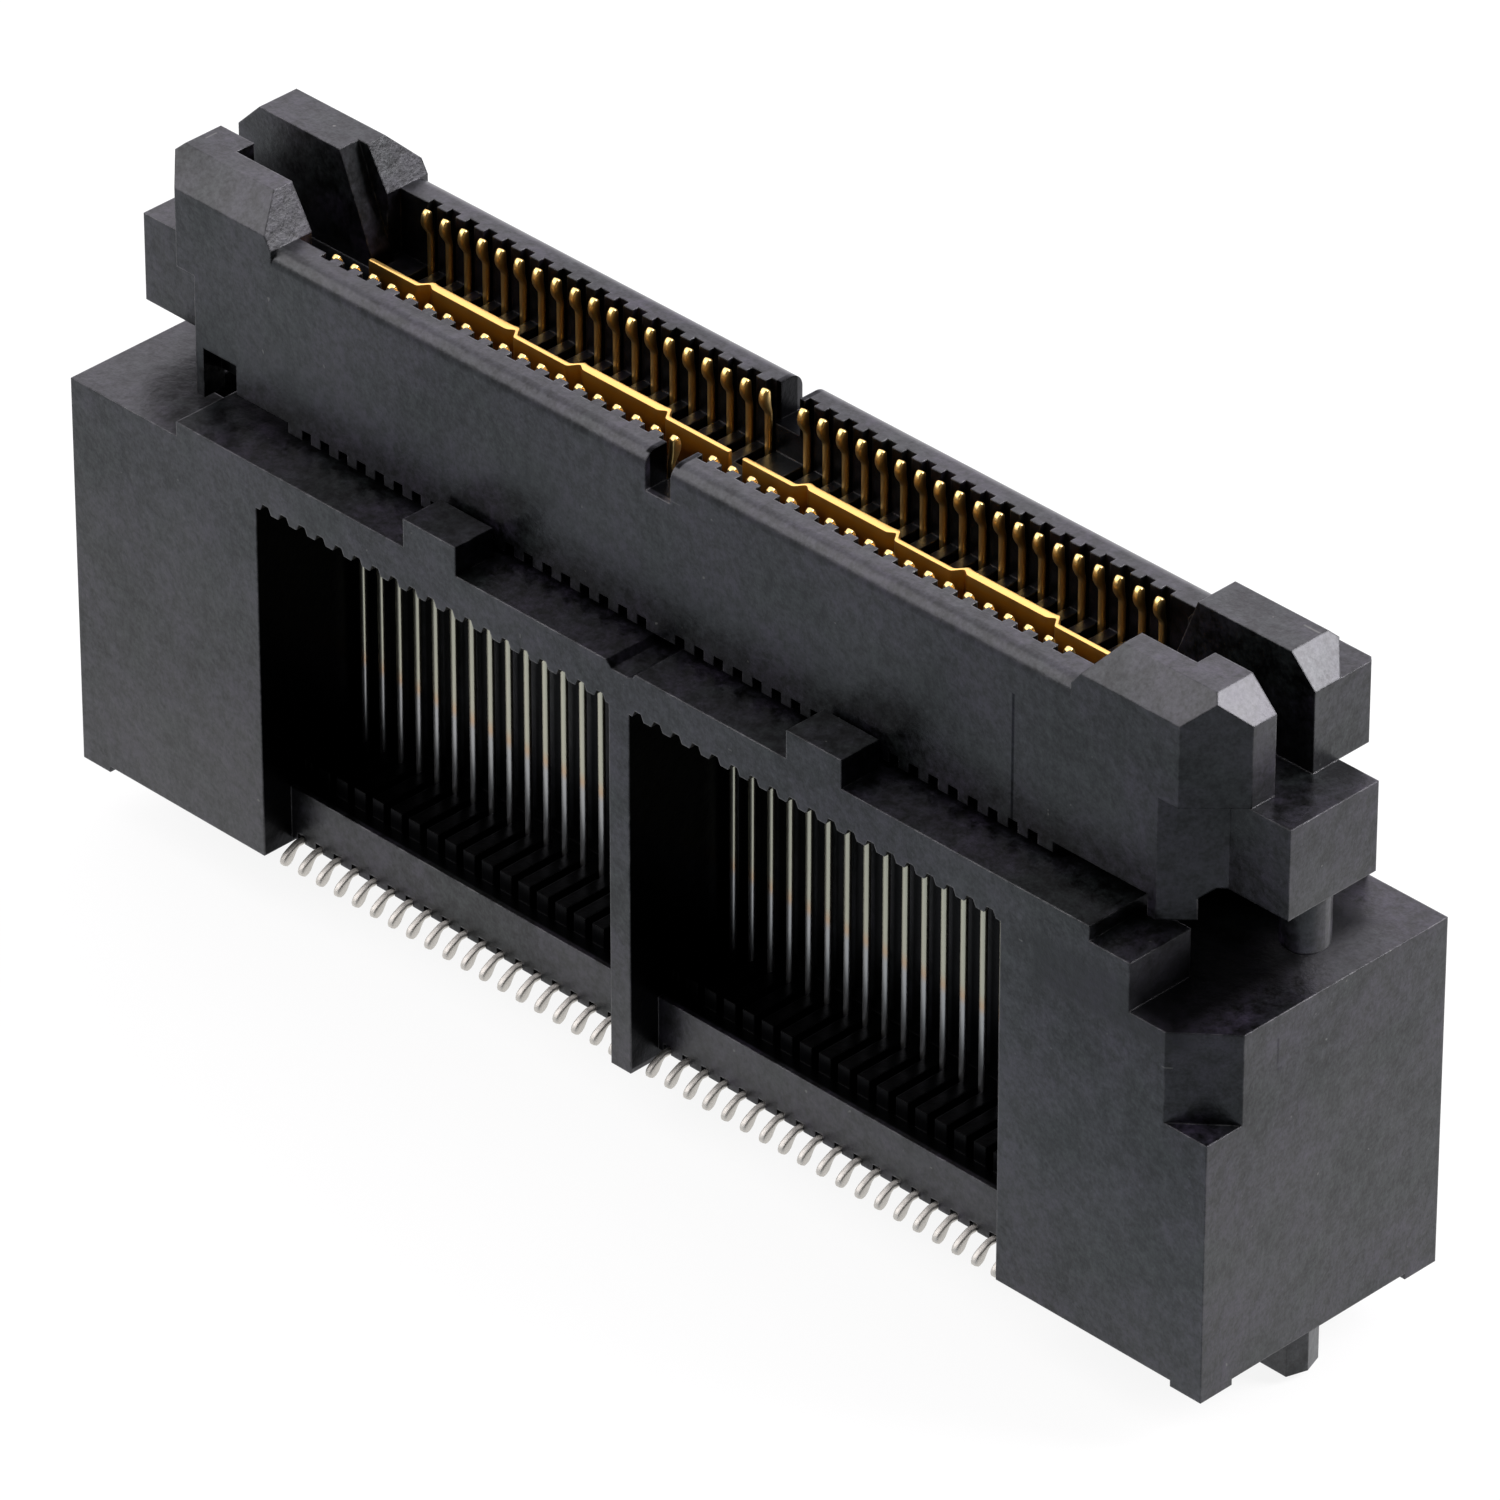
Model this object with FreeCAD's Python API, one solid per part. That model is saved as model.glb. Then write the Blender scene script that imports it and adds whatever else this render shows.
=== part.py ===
import FreeCAD, Part
import math
import os

# Fine pitch floating board connector, upright, soldered to a circuit board.
# Millimetres. The origin is the middle of the connector on the board's surface,
# +X runs along the contact rows, +Y across them and +Z away from the board.

# Board and contact rows
standoff = 0.12
pitch = 0.5
contacts_each_wing = 19

# Fixed housing
window_margin = 0.27
end_block_length = 5.14
base_depth = 6.24
foot_height = 0.13
foot_length = 0.76
foot_depth = 0.82
end_top = 8.76
end_floor = 7.72
shoulder_reach = 2.96
shoulder_length = 1.00
lintel_top = 9.08
low_corner_length = 1.06
low_corner_depth = 0.92
corner_ledge = 5.77

# Windows in both long sides of the fixed housing
web_width = 0.52
window_top = 8.14
notch_width = 0.30
notch_crown = 0.16
notch_height = 0.15

# Bed and centre wall between the windows
bar_face = 2.40
bar_bottom = 0.35
bar_top = 1.52
bar_depth = 0.40
bed_top = 1.94
lintel_inner = 1.05
centre_wall_depth = 0.60
end_well_width = 3.08

# Bosses that guide the floating housing's long faces
boss_length = 1.40
boss_top = 9.70
boss_places = (-5.02, 5.04)
guide_gap = 0.12

# Locating pegs under the ends
peg_length = 1.14
peg_flat_length = 0.86
peg_width = 0.86
peg_inset = 0.81
peg_bottom = -1.02
peg_chamfer = 0.15

# Floating housing
ear_length = 1.45
head_overhang = 0.48
head_half_depth = 2.03
head_bottom = 11.58
wall_top = 13.02
wall_round = 0.31
tower_top = 13.90
tower_chamfer = 0.60
corner_cut = 0.92
left_slope = 0.52
right_slope = 0.70
neck_bottom = 9.44
skirt_margin = 0.50
skirt_bottom = 9.22
skirt_slot_width = 0.24
leg_bottom = 8.98
leg_inner_depth = 1.50
leg_shoulder = 0.23
travel = 0.35
stop_gap = 0.03
edge_notch_length = 0.91
edge_notch_top = 10.07
edge_notch_depth = 0.45
blunt_edge = 0.10

# Trench between the contact rows, and the slots between the towers
trench_floor = 11.62
trench_half_width = 1.31
trench_margin = 0.88
slot_rear = 0.47
slot_front = 0.52
slot_front_wide = 0.97
slot_narrow_length = 1.51
guide_outer = 0.97
left_guide_reach = 0.76
guide_foot_reach = -0.18
rib_notch = (-0.39, 0.26)
rib_notch_floor = 12.22

# Ears, and the round pin under the right one
ear_half_width = 1.14
ear_bottom = 9.66
pin_inset = 0.62
pin_radius = 0.48
pin_bottom = 8.35
pin_chamfer = 0.10

# Contacts, stamped as upright blades
blade = 0.15
strip = 0.10
beam_place = 0.66
run_level = 0.38
tail_knee = 2.56
tail_heel = 2.66
tail_tip = 2.92
tail_nose = 0.10
tail_top = 0.18
tail_headroom = 0.14
leg_place = 1.26
jog_start = 10.30
jog_end = 10.95
bulge_place = 1.07
bulge_foot = 12.20
hook_radius = 0.20
hook_turn = 111
hook_top = 12.95
bed_clearance = 0.02
cavity_width = 0.26
cavity_inner = 0.50
cavity_outer = 1.47

# Ground plates in the middle of the trench
plate_thickness = 0.12
bay_thickness = 0.18
plate_top = 12.37
plate_bottom = 10.60
plate_run = -0.13
plate_bay = 0.02
plate_crest = 0.09
plate_inner_ends = (-0.09, 0.24)
plate_margins = (0.20, 0.03)
plate_bay_pitch = 4.03
plate_first_bay = 2.62
plate_bay_half = 1.15
plate_ramp = 0.15
plate_clearance = 0.02

last_station = pitch * contacts_each_wing
window_end = last_station + window_margin
half_length = window_end + end_block_length
half_depth = base_depth / 2
shoulder_start = half_length - shoulder_reach
shoulder_end = shoulder_start + shoulder_length
peg_place = half_length - peg_inset
pin_place = half_length - pin_inset
neck_half_length = half_length - ear_length
head_half_length = neck_half_length + head_overhang
trench_half_length = last_station + trench_margin
slot_narrow_start = head_half_length - slot_narrow_length
body_bottom = standoff + foot_height
leg_start = shoulder_start + travel + stop_gap
chamfer_level = tower_top - tower_chamfer

stations = [side * pitch * (n + 1) for side in (-1, 1) for n in range(contacts_each_wing)]


def block(x0, x1, y0, y1, z0, z1):
    return Part.makeBox(x1 - x0, y1 - y0, z1 - z0, FreeCAD.Vector(x0, y0, z0))


def face_of(points):
    return Part.Face(Part.makePolygon(points + points[:1]))


def plan_prism(points, z0, z1):
    base = face_of([FreeCAD.Vector(x, y, z0) for x, y in points])
    return base.extrude(FreeCAD.Vector(0, 0, z1 - z0))


def section_prism(points, x0, x1):
    base = face_of([FreeCAD.Vector(x0, y, z) for y, z in points])
    return base.extrude(FreeCAD.Vector(x1 - x0, 0, 0))


def side_prism(points, y0, y1):
    base = face_of([FreeCAD.Vector(x, y0, z) for x, z in points])
    return base.extrude(FreeCAD.Vector(0, y1 - y0, 0))


def front_and_rear(solid):
    """The solid and its mirror image across the plane between the rows."""
    return [solid, solid.mirror(FreeCAD.Vector(0, 0, 0), FreeCAD.Vector(0, 1, 0))]


def both_ends(solid):
    return [solid, solid.mirror(FreeCAD.Vector(0, 0, 0), FreeCAD.Vector(1, 0, 0))]


def four_corners(solid):
    return [copy for half in both_ends(solid) for copy in front_and_rear(half)]


def octagon(half_x, half_y, cut):
    """Outline of a block whose four upright corners are cut at 45 degrees."""
    quarter = [(half_x, half_y - cut), (half_x - cut, half_y)]
    top = quarter + [(-x, y) for x, y in reversed(quarter)]
    return top + [(-x, -y) for x, y in top]


def at_stations(make_tool):
    """One tool for each contact, in both rows."""
    tools = []
    for x in stations:
        tools += front_and_rear(make_tool(x))
    return tools


# Fixed housing


def end_blocks():
    """Piers at both ends with a foot under each corner, and the low right end."""
    lintel = block(-shoulder_start, shoulder_start, -half_depth, half_depth, end_floor, lintel_top)
    body = block(-half_length, half_length, -half_depth, half_depth, body_bottom, end_top)
    foot = block(
        half_length - foot_length, half_length, half_depth - foot_depth, half_depth, standoff, end_top
    )
    right_end = block(shoulder_end, half_length, -half_depth, half_depth, end_floor, end_top)
    corner = plan_prism(
        [
            (half_length - low_corner_length, -half_depth),
            (half_length, -half_depth),
            (half_length, -half_depth + low_corner_depth),
        ],
        corner_ledge,
        end_top,
    )
    return body.fuse([lintel] + four_corners(foot)).cut([right_end, corner])


def wing_opening():
    """Space behind one pair of windows, from the bed up through the top."""
    web = web_width / 2
    wall = centre_wall_depth / 2
    row = block(web, window_end, wall, lintel_inner, bed_top, lintel_top)
    under_lintel = block(web, window_end, wall, half_depth, bar_top, window_top)
    side_recess = block(web, window_end, bar_face, half_depth, standoff, window_top)
    return front_and_rear(row) + front_and_rear(under_lintel) + front_and_rear(side_recess)


def window_notch(x):
    """Relief with a narrowed crown across the lintel's underside above one contact."""
    half = notch_width / 2
    crown = notch_crown / 2
    outline = [
        (x - half, window_top),
        (x + half, window_top),
        (x + crown, window_top + notch_height),
        (x - crown, window_top + notch_height),
    ]
    return side_prism(outline, lintel_inner, half_depth)


def bed():
    """Ribbed block under the windows with a lower bar along each side."""
    web = web_width / 2
    bar_back = bar_face - bar_depth
    ribs = block(web, window_end, -bar_back, bar_back, body_bottom, bed_top)
    bar = block(web, window_end, bar_back, bar_face, bar_bottom, bar_top)
    return ribs.fuse(front_and_rear(bar))


def bed_slot(x):
    """Slot between two ribs of the bed, with the notch where the tail leaves."""
    half = blade / 2 + bed_clearance
    reach = strip / 2 + bed_clearance
    bar_back = bar_face - bar_depth
    slot = block(x - half, x + half, beam_place - reach, bar_back, body_bottom, bed_top)
    notch_top = run_level + tail_headroom
    notch = block(x - half, x + half, bar_back, bar_face, body_bottom, notch_top)
    return slot.fuse(notch)


def centre_groove():
    """Shallow groove across the tops of the lintels."""
    outline = [
        (-0.33, lintel_top),
        (-0.18, lintel_top - 0.14),
        (0.24, lintel_top - 0.14),
        (0.37, lintel_top - 0.09),
        (0.43, lintel_top),
    ]
    return side_prism(outline, -half_depth, half_depth)


def boss(place):
    half = boss_length / 2
    inner = head_half_depth + guide_gap
    return block(place - half, place + half, inner, half_depth, lintel_top, boss_top)


def peg():
    """Faceted locating peg that drops into a hole in the board."""
    half = peg_width / 2
    tip = peg_length / 2
    flat = peg_flat_length / 2
    outline = [(tip, 0), (flat, half), (-flat, half), (-tip, 0), (-flat, -half), (flat, -half)]
    shrink = (half - peg_chamfer) / half
    shoulder = peg_bottom + peg_chamfer
    ring = outline + outline[:1]
    upper = Part.makePolygon([FreeCAD.Vector(x, y, shoulder) for x, y in ring])
    lower = Part.makePolygon([FreeCAD.Vector(x * shrink, y * shrink, peg_bottom) for x, y in ring])
    solid = plan_prism(outline, shoulder, body_bottom).fuse(Part.makeLoft([lower, upper], True, True))
    solid.translate(FreeCAD.Vector(peg_place, 0, 0))
    return solid


def fixed_housing():
    openings = []
    for opening in wing_opening():
        openings += both_ends(opening)
    half_well = end_well_width / 2
    well = block(window_end, shoulder_end, -half_well, half_well, end_floor, lintel_top)
    underside = block(-window_end, window_end, -half_depth, half_depth, standoff, bed_top)
    web = block(-web_width / 2, web_width / 2, -half_depth, half_depth, standoff, lintel_top)
    body = end_blocks().cut([underside] + openings + both_ends(well))
    body = body.fuse(both_ends(bed()) + [web])
    body = body.cut(at_stations(window_notch) + at_stations(bed_slot) + [centre_groove()])
    bosses = []
    for place in boss_places:
        bosses += front_and_rear(boss(place))
    return body.fuse(bosses + both_ends(peg())).removeSplitter()


# Floating housing


def tower_head():
    """Head with two chamfered towers at each end and walls between them."""
    slab = plan_prism(octagon(head_half_length, head_half_depth, corner_cut), head_bottom, tower_top)
    saddle = side_prism(
        [
            (-trench_half_length - left_slope, tower_top),
            (-trench_half_length, wall_top),
            (trench_half_length, wall_top),
            (trench_half_length + right_slope, tower_top),
        ],
        -head_half_depth,
        head_half_depth,
    )
    return slab.cut([saddle] + tower_chamfers()).fuse(full_corner())


def full_corner():
    """Right rear corner, left whole below the level of the towers' chamfers."""
    outline = [
        (head_half_length - corner_cut, head_half_depth),
        (head_half_length - blunt_edge, head_half_depth),
        (head_half_length, head_half_depth - blunt_edge),
        (head_half_length, head_half_depth - corner_cut),
    ]
    return plan_prism(outline, head_bottom, chamfer_level)


def tower_chamfers():
    """Slopes along the outer long edges and the ends of the towers."""
    side = section_prism(
        [
            (head_half_depth, chamfer_level),
            (head_half_depth, tower_top),
            (head_half_depth - tower_chamfer, tower_top),
        ],
        trench_half_length,
        head_half_length,
    )
    end = side_prism(
        [
            (head_half_length, chamfer_level),
            (head_half_length, tower_top),
            (head_half_length - tower_chamfer, tower_top),
        ],
        -head_half_depth,
        head_half_depth,
    )
    return four_corners(side) + both_ends(end)


def wall_rounding():
    """Corner left over outside the round on a long wall's outer top edge."""
    side = head_half_depth - wall_round
    level = wall_top - wall_round
    length = 2 * trench_half_length
    corner = block(-length / 2, length / 2, side, head_half_depth, level, wall_top)
    start = FreeCAD.Vector(-length / 2, side, level)
    return corner.cut(Part.makeCylinder(wall_round, length, start, FreeCAD.Vector(1, 0, 0)))


def tower_slots():
    """Slot between the towers of each end; its front side is wider toward the trench."""
    wide = block(
        trench_half_length,
        slot_narrow_start,
        -slot_front_wide,
        slot_rear,
        trench_floor,
        tower_top,
    )
    narrow = block(
        slot_narrow_start, head_half_length, -slot_front, slot_rear, head_bottom, tower_top
    )
    return both_ends(wide) + both_ends(narrow)


def guide_space(reach):
    """Room in a rear tower for the steeper guide slope beside the slot."""
    top = trench_half_length + reach
    return block(trench_half_length, top, slot_rear, guide_outer, trench_floor, tower_top)


def guide_slope(reach):
    """Steep slope that leads from a rear tower's top down into the trench."""
    top = trench_half_length + reach
    foot = trench_half_length + guide_foot_reach
    outline = [(top, tower_top), (foot, trench_floor), (top, trench_floor)]
    return side_prism(outline, slot_rear, guide_outer)


def at_rear_towers(make_tool):
    """One tool at each rear tower; the right one starts where its tower's slope does."""
    left = make_tool(left_guide_reach).mirror(FreeCAD.Vector(0, 0, 0), FreeCAD.Vector(1, 0, 0))
    return [left, make_tool(right_slope)]


def neck():
    """Narrower body under the head, with a slotted skirt and a leg at each corner."""
    outline = octagon(neck_half_length, head_half_depth, corner_cut)
    body = plan_prism(outline, neck_bottom, head_bottom)
    skirt_end = last_station + skirt_margin
    skirt = block(
        -skirt_end, skirt_end, -head_half_depth, head_half_depth, skirt_bottom, neck_bottom
    )
    corner = block(
        leg_start, neck_half_length, leg_inner_depth, head_half_depth, leg_bottom, neck_bottom
    )
    legs = [plan_prism(outline, leg_bottom, neck_bottom).common(leg) for leg in four_corners(corner)]
    arch = section_prism(
        [
            (-leg_inner_depth, neck_bottom),
            (-leg_inner_depth + leg_shoulder, ear_bottom),
            (leg_inner_depth - leg_shoulder, ear_bottom),
            (leg_inner_depth, neck_bottom),
        ],
        leg_start,
        neck_half_length,
    )
    notch = block(
        -leg_start,
        -leg_start + edge_notch_length,
        -head_half_depth,
        -head_half_depth + edge_notch_depth,
        neck_bottom,
        edge_notch_top,
    )
    return body.fuse([skirt] + legs).cut([notch] + both_ends(arch))


def ear():
    """End ear, flush with the end of the fixed housing."""
    return block(
        neck_half_length, half_length, -ear_half_width, ear_half_width, ear_bottom, head_bottom
    )


def ear_pin():
    """Round pin under the right ear, over the low end of the fixed housing."""
    shank_bottom = pin_bottom + pin_chamfer
    axis = FreeCAD.Vector(pin_place, 0, shank_bottom)
    shank = Part.makeCylinder(pin_radius, ear_bottom - shank_bottom, axis)
    tip_axis = FreeCAD.Vector(pin_place, 0, pin_bottom)
    tip = Part.makeCone(pin_radius - pin_chamfer, pin_radius, pin_chamfer, tip_axis)
    return [shank, tip]


def contact_cavity(x):
    """Passage for a contact: up through the neck and into a groove in the wall."""
    half = cavity_width / 2
    return block(x - half, x + half, cavity_inner, cavity_outer, skirt_bottom, wall_top)


def skirt_slot(x):
    """Slot in the skirt's lower edge, in which the contact's beam swings."""
    half = skirt_slot_width / 2
    return block(x - half, x + half, cavity_outer, head_half_depth, skirt_bottom, neck_bottom)


def plate_path(start, end):
    """Plan of a ground plate as places and half thicknesses: runs, and bays with crests."""
    run = (plate_run, plate_thickness / 2)
    points = [(start, *run)]
    bay = start + plate_first_bay
    while bay + plate_bay_half + plate_ramp < end:
        for side in (-1, 1):
            foot = (bay + side * (plate_bay_half + plate_ramp), *run)
            crest = (bay + side * plate_bay_half, plate_crest, plate_thickness / 2)
            flat = (bay + side * (plate_bay_half - plate_ramp), plate_bay, bay_thickness / 2)
            points += [foot, crest, flat][::-side]
        bay += plate_bay_pitch
    points.append((end, *run))
    return points


def plate_solid(start, end, bottom, top, grow):
    """A ground plate, or its slot when grown by a clearance on every side."""
    path = plate_path(start, end)
    path[0] = (start - grow, *path[0][1:])
    path[-1] = (end + grow, *path[-1][1:])
    front = [(x, y - half - grow) for x, y, half in path]
    rear = [(x, y + half + grow) for x, y, half in reversed(path)]
    return plan_prism(front + rear, bottom, top)


def plate_spans():
    left, right = plate_inner_ends
    return [(-last_station - plate_margins[0], left), (right, last_station + plate_margins[1])]


def floating_housing():
    body = tower_head().fuse([neck()] + both_ends(ear()) + ear_pin())
    trench = block(
        -trench_half_length,
        trench_half_length,
        -trench_half_width,
        trench_half_width,
        trench_floor,
        wall_top,
    )
    rib_gap = block(
        rib_notch[0], rib_notch[1], -head_half_depth, head_half_depth, rib_notch_floor, wall_top
    )
    plate_slots = [
        plate_solid(start, end, plate_bottom - plate_clearance, trench_floor, plate_clearance)
        for start, end in plate_spans()
    ]
    cuts = tower_slots() + at_rear_towers(guide_space) + front_and_rear(wall_rounding())
    cuts += [trench, rib_gap] + plate_slots
    body = body.cut(cuts + at_stations(contact_cavity) + at_stations(skirt_slot))
    return body.fuse(at_rear_towers(guide_slope)).removeSplitter()


# Contacts and ground plates


def hook_arc(radius, steps):
    """Places and levels on an arc over the hook, from its inner side over the top."""
    centre = bulge_place + hook_radius
    level = hook_top - hook_radius
    turns = [math.radians(hook_turn) * step / steps for step in range(steps + 1)]
    return [(centre - radius * math.cos(turn), level + radius * math.sin(turn)) for turn in turns]


def contact_outline():
    """Side outline of a contact as places across the connector and levels above the board."""
    half = strip / 2
    tail = [
        (tail_heel, 0),
        (tail_knee, run_level - half),
    ]
    inner_side = [
        (beam_place - half, run_level - half),
        (beam_place - half, jog_start + half),
        (leg_place - half, jog_end + half),
        (leg_place - half, bulge_foot),
    ]
    hook = hook_arc(hook_radius, 3) + hook_arc(hook_radius - strip, 2)[::-1]
    outer_side = [
        (leg_place + half, bulge_foot),
        (leg_place + half, jog_end - half),
        (beam_place + half, jog_start - half),
        (beam_place + half, run_level + half),
        (tail_knee, run_level + half),
        (tail_tip, tail_top),
        (tail_tip - tail_nose, 0),
    ]
    return tail + inner_side + hook + outer_side


def contact():
    """Front contact of a pair: tail, run in the bed, spring beam, leg and hook."""
    outline = [(-place, level) for place, level in contact_outline()]
    return section_prism(outline, -blade / 2, blade / 2)


def write(name, shape):
    shape.exportStep("parts/" + name + ".step")
    print(name, len(shape.Solids), round(shape.Volume, 4), shape.isValid())


os.makedirs("parts", exist_ok=True)
write("fixed_housing", fixed_housing())
write("floating_housing", floating_housing())
for number, (start, end) in enumerate(plate_spans(), 1):
    plate = plate_solid(start, end, plate_bottom, plate_top, 0)
    write("ground_plate_" + str(number), plate)
front = contact()
for number, x in enumerate(sorted(stations), 1):
    pair = []
    for solid in front_and_rear(front):
        moved = solid.copy()
        moved.translate(FreeCAD.Vector(x, 0, 0))
        pair.append(moved)
    write("contact_pair_" + str(number).zfill(2), Part.makeCompound(pair))
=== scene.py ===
import math

import bmesh
import bpy
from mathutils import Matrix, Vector


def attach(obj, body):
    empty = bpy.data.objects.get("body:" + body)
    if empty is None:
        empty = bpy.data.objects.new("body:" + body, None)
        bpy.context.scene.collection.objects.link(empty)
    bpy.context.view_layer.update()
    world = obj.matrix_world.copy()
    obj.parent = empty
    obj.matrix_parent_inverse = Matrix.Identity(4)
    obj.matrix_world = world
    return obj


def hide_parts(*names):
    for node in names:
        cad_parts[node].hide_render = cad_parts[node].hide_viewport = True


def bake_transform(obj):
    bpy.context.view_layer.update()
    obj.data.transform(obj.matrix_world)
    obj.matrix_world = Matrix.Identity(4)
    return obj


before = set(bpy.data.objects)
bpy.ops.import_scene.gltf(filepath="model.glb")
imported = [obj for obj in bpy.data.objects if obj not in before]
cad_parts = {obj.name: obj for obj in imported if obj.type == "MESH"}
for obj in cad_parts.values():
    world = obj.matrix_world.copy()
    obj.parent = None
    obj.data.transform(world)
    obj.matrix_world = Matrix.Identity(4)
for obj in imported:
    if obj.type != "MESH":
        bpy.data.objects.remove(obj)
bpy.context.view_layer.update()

MM = 0.001

# Contact rows, in millimetres
PITCH = 0.5
CONTACTS_EACH_WING = 19

# Contact blade; tail and hook as place across the connector, level and width
BLADE = 0.15
BEAM_PLACE = 0.66
BEAM_WIDTH = 0.10
BEAM_STEPS = 12
RUN_LEVEL = 0.38
RUN_BEND = 0.22
RUN_BEND_STEPS = 5
TAIL = [
    (2.88, 0.05, 0.08),
    (2.86, 0.08, 0.16),
    (2.82, 0.13, 0.22),
    (2.76, 0.19, 0.23),
    (2.69, 0.26, 0.18),
    (2.61, 0.33, 0.12),
    (2.52, 0.38, 0.10),
]
JOG_START = 10.30
JOG_END = 10.95
LEG_PLACE = 1.26
BULGE_FOOT = 12.36
HOOK = [
    (1.252, 12.43, 0.10),
    (1.222, 12.51, 0.13),
    (1.188, 12.59, 0.17),
    (1.164, 12.67, 0.20),
    (1.155, 12.75, 0.21),
    (1.160, 12.82, 0.20),
    (1.172, 12.88, 0.175),
    (1.188, 12.925, 0.135),
    (1.200, 12.945, 0.09),
]
BLADE_ROUNDING = 0.034
BLADE_EDGE_ANGLE = 60.0

# Ground plates: level of the edges, then plan of the run, of the bays and of the crests beside them
PLATE_SPANS = [(-9.70, -0.09), (0.24, 9.53)]
PLATE_LEVELS = (10.60, 12.37)
PLATE_THICKNESS = 0.12
PLATE_BAY_THICKNESS = 0.20
PLATE_RUN = -0.13
PLATE_BAY = 0.02
PLATE_CREST = 0.09
PLATE_FIRST_BAY = 2.62
PLATE_BAY_PITCH = 4.03
PLATE_BAY_HALF = 1.15
PLATE_RAMP = 0.15
PLATE_BEND = 0.048
PLATE_BEND_STEPS = 3
PLATE_ROUNDING = 0.028
PLATE_EDGE_ANGLE = 35.0
ROUNDING_STEPS = 2
UPRIGHT_LENGTH = 1.0
LEVEL_TOLERANCE = 0.001

# Camera fitted to the photograph's edges
CAMERA_TARGET = Vector((-0.828, 1.101, 4.896))
CAMERA_DISTANCE = 234.191
CAMERA_AZIMUTH = 45.162
CAMERA_ELEVATION = 33.375
CAMERA_LENS = 300.147
CAMERA_SENSOR = 36.0
CAMERA_CLIP = (0.01, 10.0)

# Black resin: greenish and purplish blotches, pale edges that are partly wear and partly painted
# highlight, and painted shade in deep recesses and corners
RESIN_DARK = (0.0010, 0.0010, 0.0010)
RESIN_GREENISH = (0.0160, 0.0195, 0.0200)
RESIN_PURPLISH = (0.0240, 0.0195, 0.0340)
RESIN_SPECK = (0.080, 0.080, 0.075)
# pale edge colour: partly wear, partly painted highlight
RESIN_WEAR_AND_HIGHLIGHT = (0.10, 0.097, 0.10)
# painted shade colour for recesses and tight corners
RESIN_PAINTED_SHADE = (0.001, 0.001, 0.001)
RESIN_SHEEN = (0.95, 0.96, 1.0)
RESIN_ROUGHNESS = (0.28, 0.38)
EDGE_RADIUS = 0.045
EDGE_SAMPLES = 4
# reach and samples of the ambient-occlusion test that paints shade into corners
CREVICE_REACH = 1.3
CREVICE_SAMPLES = 2
BLOTCH_RELIEF = 0.010
GRAIN_RELIEF = 0.0030

# Resin textures as scale, detail and roughness
DRIFT = (190.0, 2.0, 0.5)
CLOUD = (620.0, 3.0, 0.55)
BLOTCH = (3000.0, 3.0, 0.60)
SPECK = (5200.0, 1.0, 0.5)
GRAIN = (11000.0, 3.0, 0.70)

# Stretches of a texture or mask over which its effect goes from none to full
TINT_SPAN = (0.40, 0.60)
DEPTH_SPAN = (0.40, 0.72)
SPECK_SPAN = (0.80, 0.83)
MOTTLE_SPAN = (0.40, 0.60)
DRIFT_SPAN = (0.40, 0.62)
ROUGHNESS_SPAN = (0.36, 0.64)
# edge mask for pale edges that are partly wear and partly painted highlight
EDGE_WEAR_HIGHLIGHT_TURN_SPAN = (0.995, 0.86)
EDGE_WEAR_HIGHLIGHT_PATCH_SPAN = (0.46, 0.70)
# the crevice span turns ambient occlusion into painted shade
CREVICE_SPAN = (0.50, 0.12)
RIB_SPAN = (-0.1, -0.7)

# Metallic share: on near-black resin it takes the gloss away; in recesses and corners this is
# painted shade
MOTTLE_DULLING = 0.30
DRIFT_DULLING = 0.20
RECESS_SHADE_DULLING = 0.96

# Boxes of painted shade in deep recesses, as half sizes, middles along X, Y and Z, and softness of
# the edge
WINDOW_RECESS = ((9.85, 2.32, 3.95), (0.0, 0.0, 4.15), 0.06)
WALL_FACE = ((9.6, 0.36, 3.4), (0.0, 0.0, 5.2), 0.05)
WINDOW_SIDES = ((9.85, 3.10, 3.95), (0.0, 0.0, 4.15), 0.02)
TRENCH_RECESS = ((10.35, 1.34, 0.77), (0.0, 0.0, 12.367), 0.06)
SLOT_RECESS = ((12.9, 0.75, 1.25), (0.0, -0.25, 12.60), 0.30)
WELL_RECESS = ((2.1, 3.0, 0.8), (12.4, -0.5, 7.80), 0.9)
NOTCH_RECESS = ((0.45, 1.92, 0.43), (-0.065, 0.0, 12.62), 0.03)

# Small marks as half sizes, middle, softness and strength
FIXED_DENTS = [
    ((0.10, 0.050, 0.30), (14.91, -1.31, 6.96), 0.04, 0.65),
    ((0.10, 0.110, 0.07), (14.91, -1.26, 6.56), 0.05, 0.60),
    ((0.10, 0.035, 0.14), (14.91, -1.17, 6.68), 0.04, 0.45),
]
FIXED_SCRATCHES = [
    ((0.16, 0.10, 0.020), (13.93, -3.12, 6.96), 0.015, 0.8),
    ((0.06, 0.10, 0.03), (2.90, -3.12, 8.60), 0.03, 0.7),
    ((0.03, 0.10, 0.05), (-2.60, -3.12, 8.55), 0.02, 0.6),
]
FLOATING_DENTS = [
    ((0.050, 0.20, 1.45), (8.97, -2.03, 10.70), 0.03, 0.90),
    ((0.10, 0.050, 0.24), (14.91, 0.06, 10.38), 0.06, 0.40),
]
FLOATING_SCRATCHES = [
    ((0.15, 0.20, 0.018), (0.38, -2.03, 12.30), 0.015, 0.5),
    ((0.20, 0.03, 0.20), (13.11, 1.25, 13.90), 0.02, 0.8),
    ((0.03, 0.16, 0.20), (-13.20, -0.90, 13.90), 0.03, 0.8),
]

# Centre wall behind the beams: pale ribs between the contacts, above the bed, where the painted
# shade of the window is lifted; faces that look along X take the painted shade of the window sides
BED_TOP = 2.2
RIB_SHADE_LIFT = 0.36
SIDE_FACE_TURN = 0.5

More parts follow.
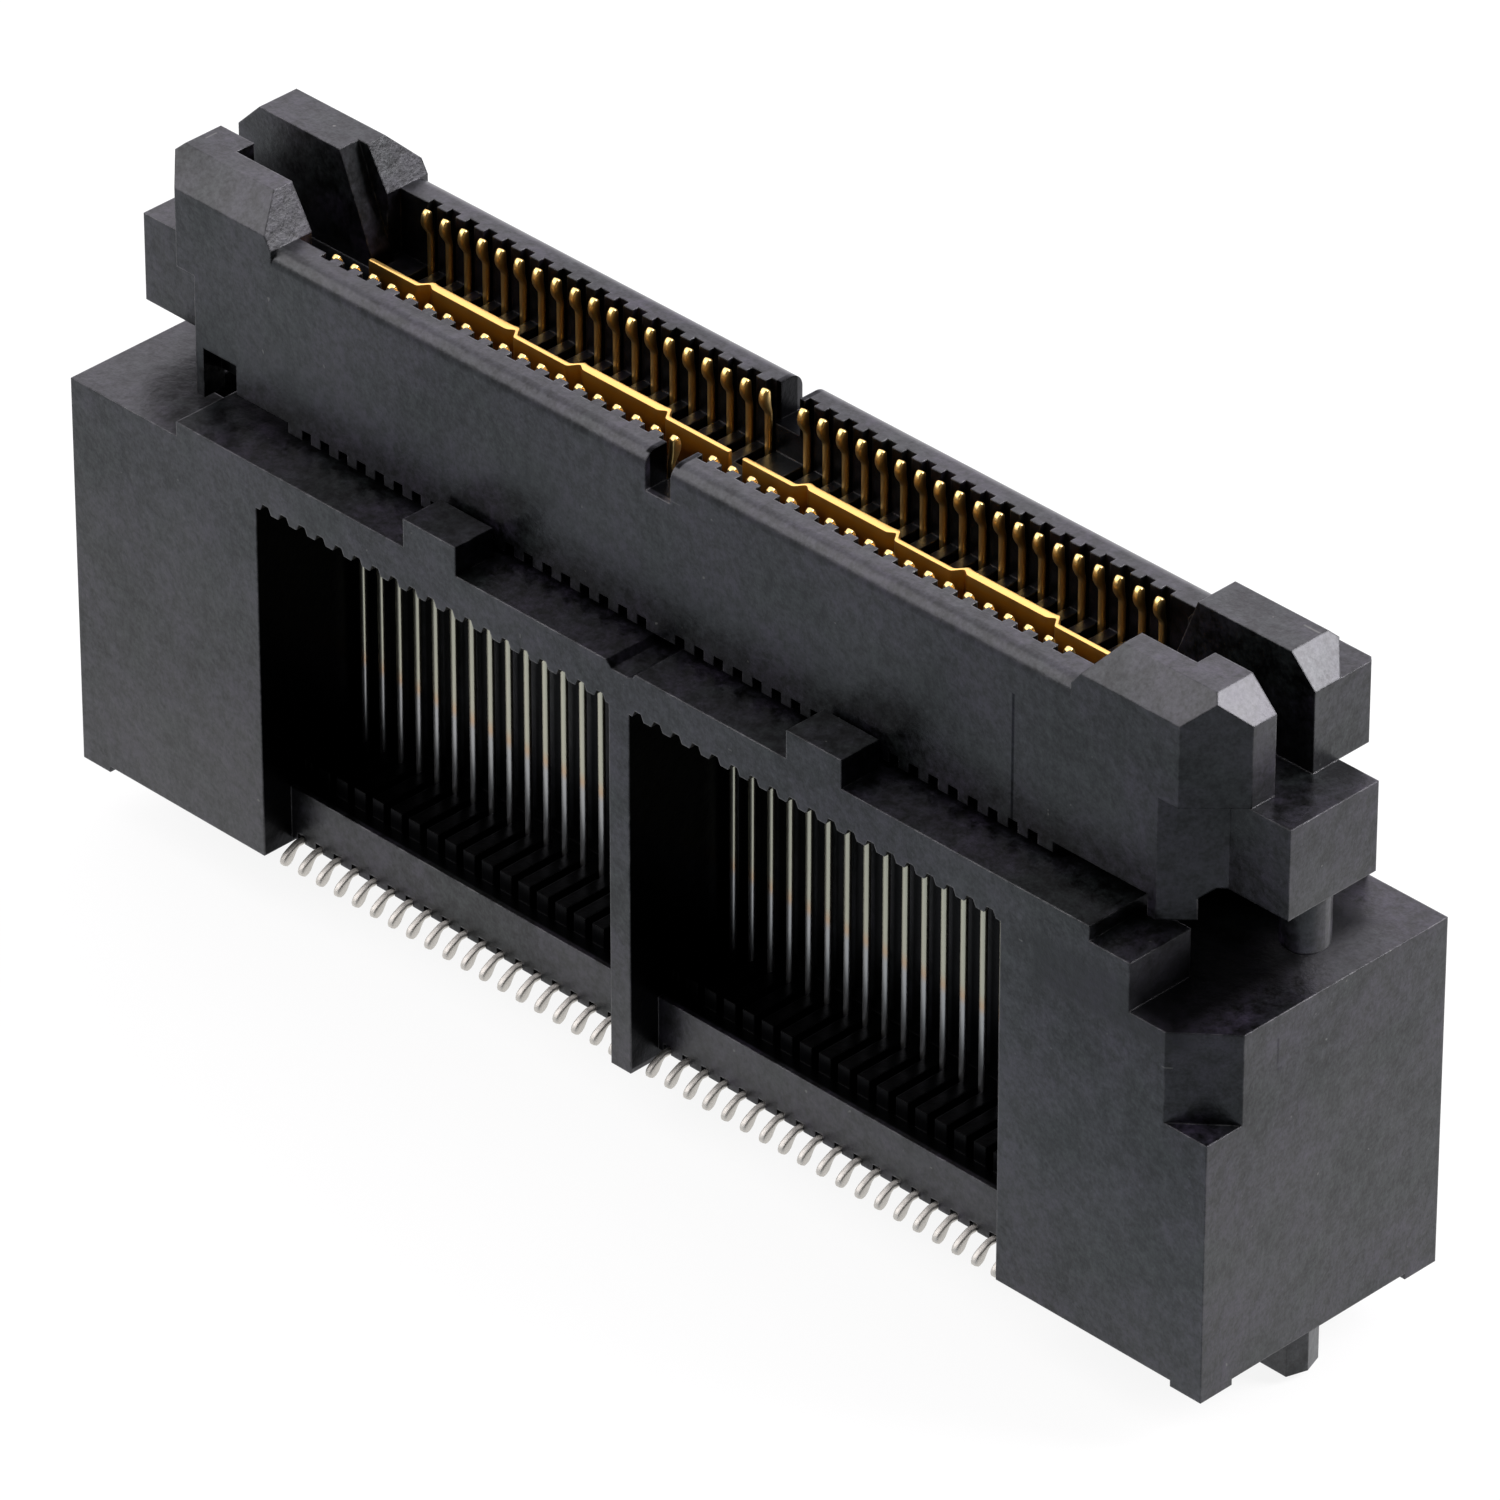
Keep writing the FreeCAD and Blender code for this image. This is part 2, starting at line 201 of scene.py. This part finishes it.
# Plating along a contact as level and colour, and as level and roughness
PLATING_HEIGHT = 13.0
TIN = (0.50, 0.48, 0.45)
NICKEL = (0.33, 0.33, 0.33)
FLASH = (0.42, 0.30, 0.20)
ALLOY = (0.36, 0.35, 0.28)
GOLD = (0.93, 0.63, 0.22)
HOOK_GOLD = (0.84, 0.58, 0.22)
PLATING = [
    (0.0, TIN), (0.78, TIN), (1.30, NICKEL), (3.575, NICKEL), (3.77, FLASH),
    (4.03, ALLOY), (8.58, ALLOY), (10.40, GOLD), (12.22, GOLD), (12.61, HOOK_GOLD),
]
PLATING_ROUGHNESS = [
    (0.0, 0.52), (0.65, 0.52), (1.56, 0.34), (9.75, 0.24), (11.96, 0.28), (12.48, 0.29)
]
DRAWN_LINES = (9000.0, 2.0, 0.6)
DRAWN_STRETCH = (1.0, 1.0, 0.15)
DRAWN_UNEVENNESS = 0.08
DRAWN_RELIEF = 0.05

# Plate gold with painted shade: dark below this level, bright toward the upper edge
PLATE_SHADE_LEVEL = 11.75
PLATE_SHADE_BROWN = (0.22, 0.09, 0.015)
PLATE_HALF_SHADE_AMBER = (0.68, 0.34, 0.055)
PLATE_BRIGHT = (0.80, 0.50, 0.155)
PLATE_SHADE_TONES = [(0.25, PLATE_SHADE_BROWN), (0.70, PLATE_HALF_SHADE_AMBER), (0.96, PLATE_BRIGHT), (1.0, PLATE_BRIGHT)]
PLATE_ROUGHNESS = (0.27, 0.37)
PLATE_WAVER = 0.3
ROLLED_LINES = (7000.0, 2.0, 0.6)
ROLLED_STRETCH = (0.1, 1.0, 1.0)
ROLLED_SHARE = 0.4
ROLLED_RELIEF = 0.12
PLATE_CLOUD = (1500.0, 2.0, 0.5)
METAL_RELIEF = 0.002

# Room around the connector: direction, edge, core, strength and colour of each patch
ROOM_LIGHT = 0.06
SKY_PATCHES = [
    ((-0.59, 0.59, 0.55), 0.45, 0.92, 1.90, (0.98, 0.94, 1.0)),
    ((0.0, 0.0, 1.0), 0.80, 0.95, 1.2, (1.0, 1.0, 1.0)),
    ((-0.6, -0.77, 0.10), 0.80, 0.97, 0.50, (0.97, 0.99, 1.0)),
]

# Lamps: place, length of an edge, power and colour; each aims at the connector's middle
LAMP_AIM = (0, 0, 7)
KEY_LAMP = ((330, 350, 360), 300, 4.9, (1.0, 0.97, 1.0))
FILL_LAMP = ((-360, -330, 360), 520, 3.1, (1.0, 0.97, 0.98))

# Floor; it is reflected brighter toward the back than toward the front
FLOOR_LEVEL = -1.02
FLOOR_REACH = 1200.0
FLOOR_ALBEDO = 0.10
FLOOR_ROUGHNESS = 0.9
FLOOR_SPECULAR = 0.1
FLOOR_GLOW = 0.89
FLOOR_MIDDLE_GLOW = 1.38
FLOOR_GLOW_SLOPES = (-10.0, 52.0)
FLOOR_GLOW_LIMITS = (0.50, 1.30)
FLOOR_COOL = (0.91, 0.99, 1.06)
FLOOR_COOL_SPAN = (1.1, 0.9)


# Shader helpers


def new_material(name):
    """An empty node material with a Principled shader wired to its output."""
    material = bpy.data.materials.new(name)
    material.use_nodes = True
    tree = material.node_tree
    tree.nodes.clear()
    shader = tree.nodes.new("ShaderNodeBsdfPrincipled")
    output = tree.nodes.new("ShaderNodeOutputMaterial")
    tree.links.new(shader.outputs["BSDF"], output.inputs["Surface"])
    return material, tree, shader


def position(tree, scale=(1.0, 1.0, 1.0)):
    """Object coordinates stretched by a scale on each axis."""
    coordinates = tree.nodes.new("ShaderNodeTexCoord")
    mapping = tree.nodes.new("ShaderNodeMapping")
    mapping.inputs["Scale"].default_value = scale
    tree.links.new(coordinates.outputs["Object"], mapping.inputs["Vector"])
    return mapping.outputs["Vector"]


def object_axes(tree):
    """X, Y and Z of the object coordinates."""
    coordinates = tree.nodes.new("ShaderNodeTexCoord")
    split = tree.nodes.new("ShaderNodeSeparateXYZ")
    tree.links.new(coordinates.outputs["Object"], split.inputs["Vector"])
    return split.outputs


def true_normal(tree):
    geometry = tree.nodes.new("ShaderNodeNewGeometry")
    return geometry.outputs["True Normal"]


def noise(tree, vector, scale, detail, roughness):
    node = tree.nodes.new("ShaderNodeTexNoise")
    node.inputs["Scale"].default_value = scale
    node.inputs["Detail"].default_value = detail
    node.inputs["Roughness"].default_value = roughness
    tree.links.new(vector, node.inputs["Vector"])
    return node.outputs["Fac"]


def ramp(tree, value, stops):
    """Colour ramp through the given places and colours."""
    node = tree.nodes.new("ShaderNodeValToRGB")
    elements = node.color_ramp.elements
    while len(elements) < len(stops):
        elements.new(0.5)
    for element, (place, colour) in zip(elements, stops):
        element.position = place
        element.color = (*colour, 1.0)
    tree.links.new(value, node.inputs["Fac"])
    return node.outputs["Color"]


def spread(tree, value, low, high):
    """A 0 to 1 value mapped onto a range."""
    node = tree.nodes.new("ShaderNodeMapRange")
    node.inputs["To Min"].default_value = low
    node.inputs["To Max"].default_value = high
    tree.links.new(value, node.inputs["Value"])
    return node.outputs["Result"]


def stretched(tree, value, low, high):
    """A value rescaled so that low becomes 0 and high becomes 1."""
    node = tree.nodes.new("ShaderNodeMapRange")
    node.inputs["From Min"].default_value = low
    node.inputs["From Max"].default_value = high
    tree.links.new(value, node.inputs["Value"])
    return node.outputs["Result"]


def maths(tree, operation, first, second=0.0):
    """Math node whose inputs are sockets or numbers."""
    node = tree.nodes.new("ShaderNodeMath")
    node.operation = operation
    for socket, value in zip(node.inputs, (first, second)):
        if isinstance(value, bpy.types.NodeSocket):
            tree.links.new(value, socket)
        else:
            socket.default_value = value
    return node.outputs["Value"]


def weighted(tree, first, second, share=0.6):
    """Average of two values, in which the first has the given share."""
    first_part = maths(tree, "MULTIPLY", first, share)
    second_part = maths(tree, "MULTIPLY", second, 1.0 - share)
    return maths(tree, "ADD", first_part, second_part)


def largest(tree, values):
    total = values[0]
    for value in values[1:]:
        total = maths(tree, "MAXIMUM", total, value)
    return total


def mixed(tree, factor, first, second):
    """Blend of two colours, each a socket or three numbers."""
    node = tree.nodes.new("ShaderNodeMix")
    node.data_type = "RGBA"
    tree.links.new(factor, node.inputs["Factor"])
    for socket, colour in ((node.inputs[6], first), (node.inputs[7], second)):
        if isinstance(colour, bpy.types.NodeSocket):
            tree.links.new(colour, socket)
        else:
            socket.default_value = (*colour, 1.0)
    return node.outputs[2]


def bump(tree, height, distance, strength=1.0):
    """Bump node of a height in millimetres."""
    node = tree.nodes.new("ShaderNodeBump")
    node.inputs["Strength"].default_value = strength
    node.inputs["Distance"].default_value = distance * MM
    tree.links.new(height, node.inputs["Height"])
    return node


def raised(tree, height, distance, normal):
    """Bump of a height in millimetres laid over another normal."""
    node = bump(tree, height, distance)
    tree.links.new(normal, node.inputs["Normal"])
    return node.outputs["Normal"]


def box_mask(tree, halves, middle, edge):
    """1 inside a box given in millimetres, falling to 0 across a soft edge."""
    axes = object_axes(tree)
    mask = 1.0
    for axis, half, centre in zip("XYZ", halves, middle):
        away = maths(tree, "ABSOLUTE", maths(tree, "SUBTRACT", axes[axis], centre * MM))
        inside = maths(tree, "SUBTRACT", half * MM, away)
        soft = maths(tree, "DIVIDE", inside, edge * MM)
        mask = maths(tree, "MINIMUM", soft, mask)
    return maths(tree, "MAXIMUM", mask, 0.0)


def marks(tree, places):
    """Mask of several small marks, each with its own strength."""
    masks = []
    for halves, middle, edge, strength in places:
        masks.append(maths(tree, "MULTIPLY", box_mask(tree, halves, middle, edge), strength))
    return largest(tree, masks)


# Black resin


def rounded_normal(tree):
    """Normal that turns softly across sharp edges."""
    rounding = tree.nodes.new("ShaderNodeBevel")
    rounding.samples = EDGE_SAMPLES
    rounding.inputs["Radius"].default_value = EDGE_RADIUS * MM
    return rounding.outputs["Normal"]


def edges_worn_and_highlit(tree, rounded, blotch):
    """Patchy mask along edges, from how far the rounded normal turns; it paints pale edges that are
    partly wear and partly painted highlight.
    """
    turn = tree.nodes.new("ShaderNodeVectorMath")
    turn.operation = "DOT_PRODUCT"
    tree.links.new(rounded, turn.inputs[0])
    tree.links.new(true_normal(tree), turn.inputs[1])
    edge = stretched(tree, turn.outputs["Value"], *EDGE_WEAR_HIGHLIGHT_TURN_SPAN)
    return maths(tree, "MULTIPLY", edge, stretched(tree, blotch, *EDGE_WEAR_HIGHLIGHT_PATCH_SPAN))


def crevice_shade(tree):
    """Painted shade: 1 in tight corners and under overhangs, 0 on open faces, from an
    ambient-occlusion test.
    """
    node = tree.nodes.new("ShaderNodeAmbientOcclusion")
    node.samples = CREVICE_SAMPLES
    node.inputs["Distance"].default_value = CREVICE_REACH * MM
    return stretched(tree, node.outputs["AO"], *CREVICE_SPAN)


def side_faces(tree):
    """1 on faces that look along X, 0 on all others."""
    split = tree.nodes.new("ShaderNodeSeparateXYZ")
    tree.links.new(true_normal(tree), split.inputs["Vector"])
    along = maths(tree, "ABSOLUTE", split.outputs["X"])
    return maths(tree, "GREATER_THAN", along, SIDE_FACE_TURN)


def wall_ribs(tree):
    """1 midway between neighbouring contacts, 0 behind each of them, above the bed."""
    axes = object_axes(tree)
    turns = maths(tree, "MULTIPLY", axes["X"], 2 * math.pi / (PITCH * MM))
    between = stretched(tree, maths(tree, "COSINE", turns), *RIB_SPAN)
    above = maths(tree, "GREATER_THAN", axes["Z"], BED_TOP * MM)
    return maths(tree, "MULTIPLY", between, above)


def painted_recess_shade(tree, recesses, sides):
    """Painted shade: 1 in recesses and tight corners; on a housing with windows it is lifted on the
    wall's ribs, which stay paler.
    """
    painted_shade = [box_mask(tree, *recess) for recess in recesses]
    for recess in sides:
        painted_shade.append(maths(tree, "MULTIPLY", box_mask(tree, *recess), side_faces(tree)))
    painted_shade = maths(tree, "MAXIMUM", largest(tree, painted_shade), crevice_shade(tree))
    if sides:
        # painted shade lifted in stripes on the wall's ribs
        shade_lift = maths(tree, "MULTIPLY", wall_ribs(tree), RIB_SHADE_LIFT)
        shade_lift = maths(tree, "MULTIPLY", shade_lift, box_mask(tree, *WALL_FACE))
        painted_shade = maths(tree, "SUBTRACT", painted_shade, shade_lift)
    return painted_shade


def resin(name, recesses, sides, dents, scratches):
    """Moulded black resin: mottled, pale along its edges from wear and painted highlight, and black
    in its recesses and corners from painted shade.
    """
    material, tree, shader = new_material(name)
    vector = position(tree)
    drift = noise(tree, vector, *DRIFT)
    cloud = noise(tree, vector, *CLOUD)
    speck = noise(tree, vector, *SPECK)
    blotch = noise(tree, vector, *BLOTCH)
    grain = noise(tree, vector, *GRAIN)
    rounded = rounded_normal(tree)
    # painted shade in recesses and corners
    painted_shade = painted_recess_shade(tree, recesses, sides)

    tint = mixed(tree, stretched(tree, cloud, *TINT_SPAN), RESIN_GREENISH, RESIN_PURPLISH)
    depth = stretched(tree, weighted(tree, blotch, grain), *DEPTH_SPAN)
    colour = mixed(tree, depth, RESIN_DARK, tint)
    colour = mixed(tree, stretched(tree, speck, *SPECK_SPAN), colour, RESIN_SPECK)
    # pale edges: partly wear, partly painted highlight
    colour = mixed(tree, edges_worn_and_highlit(tree, rounded, blotch), colour, RESIN_WEAR_AND_HIGHLIGHT)
    # recesses and corners take the painted shade colour
    colour = mixed(tree, painted_shade, colour, RESIN_PAINTED_SHADE)
    colour = mixed(tree, marks(tree, scratches), colour, RESIN_SPECK)
    tree.links.new(colour, shader.inputs["Base Color"])

    patchy = weighted(tree, cloud, blotch)
    mottle = stretched(tree, weighted(tree, patchy, grain), *MOTTLE_SPAN)
    dull = maths(
        tree,
        "ADD",
        spread(tree, mottle, MOTTLE_DULLING, 0.0),
        spread(tree, stretched(tree, drift, *DRIFT_SPAN), DRIFT_DULLING, 0.0),
    )
    dull = maths(tree, "MAXIMUM", dull, marks(tree, dents))
    # painted shade: recesses and corners also lose their gloss
    dull = maths(tree, "MAXIMUM", dull, maths(tree, "MULTIPLY", painted_shade, RECESS_SHADE_DULLING))
    tree.links.new(dull, shader.inputs["Metallic"])
    roughness = spread(tree, stretched(tree, patchy, *ROUGHNESS_SPAN), *RESIN_ROUGHNESS)
    tree.links.new(roughness, shader.inputs["Roughness"])
    shader.inputs["Specular Tint"].default_value = (*RESIN_SHEEN, 1.0)

    swell = raised(tree, blotch, BLOTCH_RELIEF, rounded)
    tree.links.new(raised(tree, grain, GRAIN_RELIEF, swell), shader.inputs["Normal"])
    return material


# Metals


def contact_plating():
    """Gold on the hook and leg, pale alloy on the beam and matte tin on the tail."""
    material, tree, shader = new_material("contact_plating")
    height = stretched(tree, object_axes(tree)["Z"], 0.0, PLATING_HEIGHT * MM)
    colours = [(level / PLATING_HEIGHT, colour) for level, colour in PLATING]
    tree.links.new(ramp(tree, height, colours), shader.inputs["Base Color"])
    shader.inputs["Metallic"].default_value = 1.0
    greys = [(level / PLATING_HEIGHT, (value,) * 3) for level, value in PLATING_ROUGHNESS]
    drawn = noise(tree, position(tree, DRAWN_STRETCH), *DRAWN_LINES)
    uneven = maths(tree, "MULTIPLY", drawn, DRAWN_UNEVENNESS)
    uneven = maths(tree, "ADD", uneven, ramp(tree, height, greys))
    tree.links.new(uneven, shader.inputs["Roughness"])
    relief = bump(tree, drawn, METAL_RELIEF, DRAWN_RELIEF)
    tree.links.new(relief.outputs["Normal"], shader.inputs["Normal"])
    return material


def plate_gold():
    """Gold plating on rolled sheet, softly glossy, with faint rolling lines and painted shade that
    turns it brown toward its lower edge.
    """
    material, tree, shader = new_material("plate_gold")
    rolled = noise(tree, position(tree, ROLLED_STRETCH), *ROLLED_LINES)
    cloud = noise(tree, position(tree), *PLATE_CLOUD)
    tone = weighted(tree, rolled, cloud, ROLLED_SHARE)
    waver = maths(tree, "MULTIPLY", maths(tree, "SUBTRACT", tone, 0.5), PLATE_WAVER)
    # painted shade: the gold darkens toward the plate's lower edge
    rise = stretched(tree, object_axes(tree)["Z"], PLATE_SHADE_LEVEL * MM, PLATE_LEVELS[1] * MM)
    rise = maths(tree, "ADD", rise, waver)
    tree.links.new(ramp(tree, rise, PLATE_SHADE_TONES), shader.inputs["Base Color"])
    shader.inputs["Metallic"].default_value = 1.0
    tree.links.new(spread(tree, tone, *PLATE_ROUGHNESS), shader.inputs["Roughness"])
    relief = bump(tree, rolled, METAL_RELIEF, ROLLED_RELIEF)
    tree.links.new(relief.outputs["Normal"], shader.inputs["Normal"])
    return material


# Mesh helpers


def bevelled(bm, edges, offset, segments):
    bmesh.ops.bevel(
        bm, geom=edges, offset=offset * MM, segments=segments, profile=0.5, affect="EDGES"
    )


def smooth_piece(bm, name, material):
    """Smooth shaded object with the given mesh, added to the scene."""
    mesh = bpy.data.meshes.new(name)
    bm.to_mesh(mesh)
    bm.free()
    for polygon in mesh.polygons:
        polygon.use_smooth = True
    mesh.materials.append(material)
    piece = bpy.data.objects.new(name, mesh)
    bpy.context.collection.objects.link(piece)
    return piece


# Contacts


def arc_points(centre, radius, start, end, steps):
    """Points on an arc in the plane across the connector; angles in degrees."""
    points = []
    for step in range(steps + 1):
        angle = math.radians(start + (end - start) * step / steps)
        points.append((centre[0] + radius * math.cos(angle), centre[1] + radius * math.sin(angle)))
    return points


def contact_path():
    """Centre line of a contact with its width at each point, as (place, level, width)."""
    bend = (BEAM_PLACE + RUN_BEND, RUN_LEVEL + RUN_BEND)
    corner = arc_points(bend, RUN_BEND, 270, 180, RUN_BEND_STEPS)
    run = [(place, level, BEAM_WIDTH) for place, level in corner]
    rise = (JOG_START - bend[1]) / BEAM_STEPS
    beam = [(BEAM_PLACE, bend[1] + rise * (n + 1), BEAM_WIDTH) for n in range(BEAM_STEPS)]
    leg = [(LEG_PLACE, JOG_END, BEAM_WIDTH), (LEG_PLACE, BULGE_FOOT, BEAM_WIDTH)]
    return TAIL + run + beam + leg + HOOK


def ribbon_sides(path):
    """Left and right edge of a path, offset by half its width at each point."""
    left = []
    right = []
    for index, (place, level, width) in enumerate(path):
        before = path[max(index - 1, 0)]
        after = path[min(index + 1, len(path) - 1)]
        along = Vector((after[0] - before[0], after[1] - before[1])).normalized()
        across = Vector((-along.y, along.x)) * width / 2
        left.append((place + across.x, level + across.y))
        right.append((place - across.x, level - across.y))
    return left, right


def contact_mesh(bm, x, side, left, right):
    """One blade: a ladder of quads on each side, closed around its edge."""
    half = BLADE / 2
    rails = []
    for offset, edge in ((-half, left), (half, left), (half, right), (-half, right)):
        rails.append([
            bm.verts.new(((x + offset) * MM, side * place * MM, max(level, 0) * MM))
            for place, level in edge
        ])
    for n in range(len(left) - 1):
        for a, b in zip(rails, rails[1:] + rails[:1]):
            bm.faces.new((a[n], b[n], b[n + 1], a[n + 1]))
    bm.faces.new([rail[0] for rail in reversed(rails)])
    bm.faces.new([rail[-1] for rail in rails])


def contact_piece(number, x, material):
    """Front and rear blade of one station."""
    left, right = ribbon_sides(contact_path())
    bm = bmesh.new()
    for side in (-1, 1):
        contact_mesh(bm, x, side, left, right)
    bmesh.ops.recalc_face_normals(bm, faces=bm.faces)
    sharp = math.radians(BLADE_EDGE_ANGLE)
    long_edges = [edge for edge in bm.edges if edge.calc_face_angle(0) > sharp]
    bevelled(bm, long_edges, BLADE_ROUNDING, ROUNDING_STEPS)
    piece = smooth_piece(bm, "contact_blades_%02d" % number, material)
    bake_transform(piece)
    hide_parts("contact_pair_%02d" % number)


def contacts():
    material = contact_plating()
    wing = [PITCH * (n + 1) for n in range(CONTACTS_EACH_WING)]
    places = [-x for x in reversed(wing)] + wing
    for number, x in enumerate(places, 1):
        contact_piece(number, x, material)


# Ground plates


def plate_path(start, end):
    """Plan of a ground plate as (place along X, place along Y, half thickness)."""
    run = (PLATE_RUN, PLATE_THICKNESS / 2)
    points = [(start, *run)]
    bay = start + PLATE_FIRST_BAY
    while bay + PLATE_BAY_HALF + PLATE_RAMP < end:
        for side in (-1, 1):
            foot = (bay + side * (PLATE_BAY_HALF + PLATE_RAMP), *run)
            crest = (bay + side * PLATE_BAY_HALF, PLATE_CREST, PLATE_THICKNESS / 2)
            flat = (bay + side * (PLATE_BAY_HALF - PLATE_RAMP), PLATE_BAY, PLATE_BAY_THICKNESS / 2)
            points += [foot, crest, flat][::-side]
        bay += PLATE_BAY_PITCH
    points.append((end, *run))
    return points


def plate_mesh(path):
    """Plate raised from its plan, with bent corners and softened upper edges."""
    outline = [(x, y - half) for x, y, half in path]
    outline += [(x, y + half) for x, y, half in reversed(path)]
    bottom, top = PLATE_LEVELS
    bm = bmesh.new()
    lower = [bm.verts.new((x * MM, y * MM, bottom * MM)) for x, y in outline]
    base = bm.faces.new(lower)
    for part in bmesh.ops.extrude_face_region(bm, geom=[base])["geom"]:
        if isinstance(part, bmesh.types.BMVert):
            part.co.z = top * MM
    upright = [
        edge for edge in bm.edges
        if abs(edge.verts[0].co.z - edge.verts[1].co.z) > UPRIGHT_LENGTH * MM
    ]
    bevelled(bm, upright, PLATE_BEND, PLATE_BEND_STEPS)
    rim = [
        edge for edge in bm.edges
        if min(vertex.co.z for vertex in edge.verts) > (top - LEVEL_TOLERANCE) * MM
    ]
    bevelled(bm, rim, PLATE_ROUNDING, ROUNDING_STEPS)
    bmesh.ops.recalc_face_normals(bm, faces=bm.faces)
    return bm


def plates():
    gold = plate_gold()
    for number, (start, end) in enumerate(PLATE_SPANS, 1):
        bm = plate_mesh(plate_path(start, end))
        piece = smooth_piece(bm, "ground_plate_gold_%d" % number, gold)
        piece.data.set_sharp_from_angle(angle=math.radians(PLATE_EDGE_ANGLE))
        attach(piece, "floating")
        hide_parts("ground_plate_%d" % number)


# Housings keep their modelled form


def finish_node(node, material):
    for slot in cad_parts[node].material_slots:
        slot.material = material


def housings():
    recesses = [WINDOW_RECESS, WELL_RECESS]
    fixed = resin("fixed_resin", recesses, [WINDOW_SIDES], FIXED_DENTS, FIXED_SCRATCHES)
    finish_node("fixed_housing", fixed)
    recesses = [TRENCH_RECESS, SLOT_RECESS, NOTCH_RECESS]
    floating = resin("floating_resin", recesses, [], FLOATING_DENTS, FLOATING_SCRATCHES)
    finish_node("floating_housing", floating)


# Stage, light and camera


def floor_material():
    """White to the camera; in reflections its glow rises toward the back and cools where dim."""
    material, tree, shader = new_material("floor_white")
    shader.inputs["Base Color"].default_value = (*[FLOOR_ALBEDO] * 3, 1.0)
    shader.inputs["Roughness"].default_value = FLOOR_ROUGHNESS
    shader.inputs["Specular IOR Level"].default_value = FLOOR_SPECULAR
    path = tree.nodes.new("ShaderNodeLightPath")
    axes = object_axes(tree)
    slope = FLOOR_MIDDLE_GLOW
    for axis, rate in zip("XY", FLOOR_GLOW_SLOPES):
        slope = maths(tree, "ADD", maths(tree, "MULTIPLY", axes[axis], rate), slope)
    slope = maths(tree, "MAXIMUM", slope, FLOOR_GLOW_LIMITS[0])
    slope = maths(tree, "MINIMUM", slope, FLOOR_GLOW_LIMITS[1])
    seen = maths(tree, "ADD", path.outputs["Is Camera Ray"], path.outputs["Is Transmission Ray"])
    mirrored = maths(tree, "MULTIPLY", path.outputs["Is Glossy Ray"], slope)
    glow = maths(tree, "ADD", maths(tree, "MULTIPLY", seen, FLOOR_GLOW), mirrored)
    cool = stretched(tree, slope, *FLOOR_COOL_SPAN)
    cool = maths(tree, "MULTIPLY", cool, path.outputs["Is Glossy Ray"])
    tint = mixed(tree, cool, (1.0, 1.0, 1.0), FLOOR_COOL)
    tree.links.new(tint, shader.inputs["Emission Color"])
    tree.links.new(glow, shader.inputs["Emission Strength"])
    return material


def floor():
    """White table that keeps a faint shadow of the connector."""
    mesh = bpy.data.meshes.new("floor")
    reach = FLOOR_REACH * MM
    corners = [(-reach, -reach), (reach, -reach), (reach, reach), (-reach, reach)]
    mesh.from_pydata([(x, y, FLOOR_LEVEL * MM) for x, y in corners], [], [(0, 1, 2, 3)])
    mesh.materials.append(floor_material())
    piece = bpy.data.objects.new("floor", mesh)
    bpy.context.collection.objects.link(piece)


def softbox(name, place, edge, power, colour):
    """Square area lamp that faces the connector."""
    data = bpy.data.lights.new(name, "AREA")
    data.shape = "SQUARE"
    data.size = edge * MM
    data.energy = power
    data.color = colour
    lamp = bpy.data.objects.new(name, data)
    lamp.location = Vector(place) * MM
    direction = Vector(LAMP_AIM) * MM - lamp.location
    lamp.rotation_euler = direction.to_track_quat("-Z", "Y").to_euler()
    bpy.context.collection.objects.link(lamp)


def sky_patch(tree, direction, edge, core, strength, colour):
    """Soft bright patch of sky around a direction."""
    coordinates = tree.nodes.new("ShaderNodeTexCoord")
    toward = tree.nodes.new("ShaderNodeVectorMath")
    toward.operation = "DOT_PRODUCT"
    toward.inputs[1].default_value = Vector(direction).normalized()
    tree.links.new(coordinates.outputs["Generated"], toward.inputs[0])
    falloff = tree.nodes.new("ShaderNodeMapRange")
    falloff.interpolation_type = "SMOOTHSTEP"
    falloff.inputs["From Min"].default_value = edge
    falloff.inputs["From Max"].default_value = core
    falloff.inputs["To Max"].default_value = strength
    tree.links.new(toward.outputs["Value"], falloff.inputs["Value"])
    patch = tree.nodes.new("ShaderNodeBackground")
    patch.inputs["Color"].default_value = (*colour, 1.0)
    tree.links.new(falloff.outputs["Result"], patch.inputs["Strength"])
    return patch.outputs["Background"]


def studio():
    """Dim room with a broad patch of sky at the back left, one overhead and a low one in front."""
    world = bpy.data.worlds.new("studio")
    world.use_nodes = True
    tree = world.node_tree
    background = tree.nodes["Background"]
    background.inputs["Color"].default_value = (1, 1, 1, 1)
    background.inputs["Strength"].default_value = ROOM_LIGHT
    total = background.outputs["Background"]
    for patch in SKY_PATCHES:
        joined = tree.nodes.new("ShaderNodeAddShader")
        tree.links.new(total, joined.inputs[0])
        tree.links.new(sky_patch(tree, *patch), joined.inputs[1])
        total = joined.outputs["Shader"]
    tree.links.new(total, tree.nodes["World Output"].inputs["Surface"])
    bpy.context.scene.world = world


def lights():
    softbox("key_back_right", *KEY_LAMP)
    softbox("fill_front_left", *FILL_LAMP)
    studio()


def camera():
    azimuth = math.radians(CAMERA_AZIMUTH)
    elevation = math.radians(CAMERA_ELEVATION)
    outward = Vector(
        (
            math.sin(azimuth) * math.cos(elevation),
            -math.cos(azimuth) * math.cos(elevation),
            math.sin(elevation),
        )
    )
    data = bpy.data.cameras.new("camera")
    data.sensor_width = CAMERA_SENSOR
    data.lens = CAMERA_LENS
    data.clip_start, data.clip_end = CAMERA_CLIP
    eye = bpy.data.objects.new("camera", data)
    eye.location = (CAMERA_TARGET + outward * CAMERA_DISTANCE) * MM
    eye.rotation_euler = (-outward).to_track_quat("-Z", "Y").to_euler()
    bpy.context.collection.objects.link(eye)
    bpy.context.scene.camera = eye


housings()
plates()
contacts()
floor()
lights()
camera()
bpy.context.scene.view_settings.view_transform = "Standard"
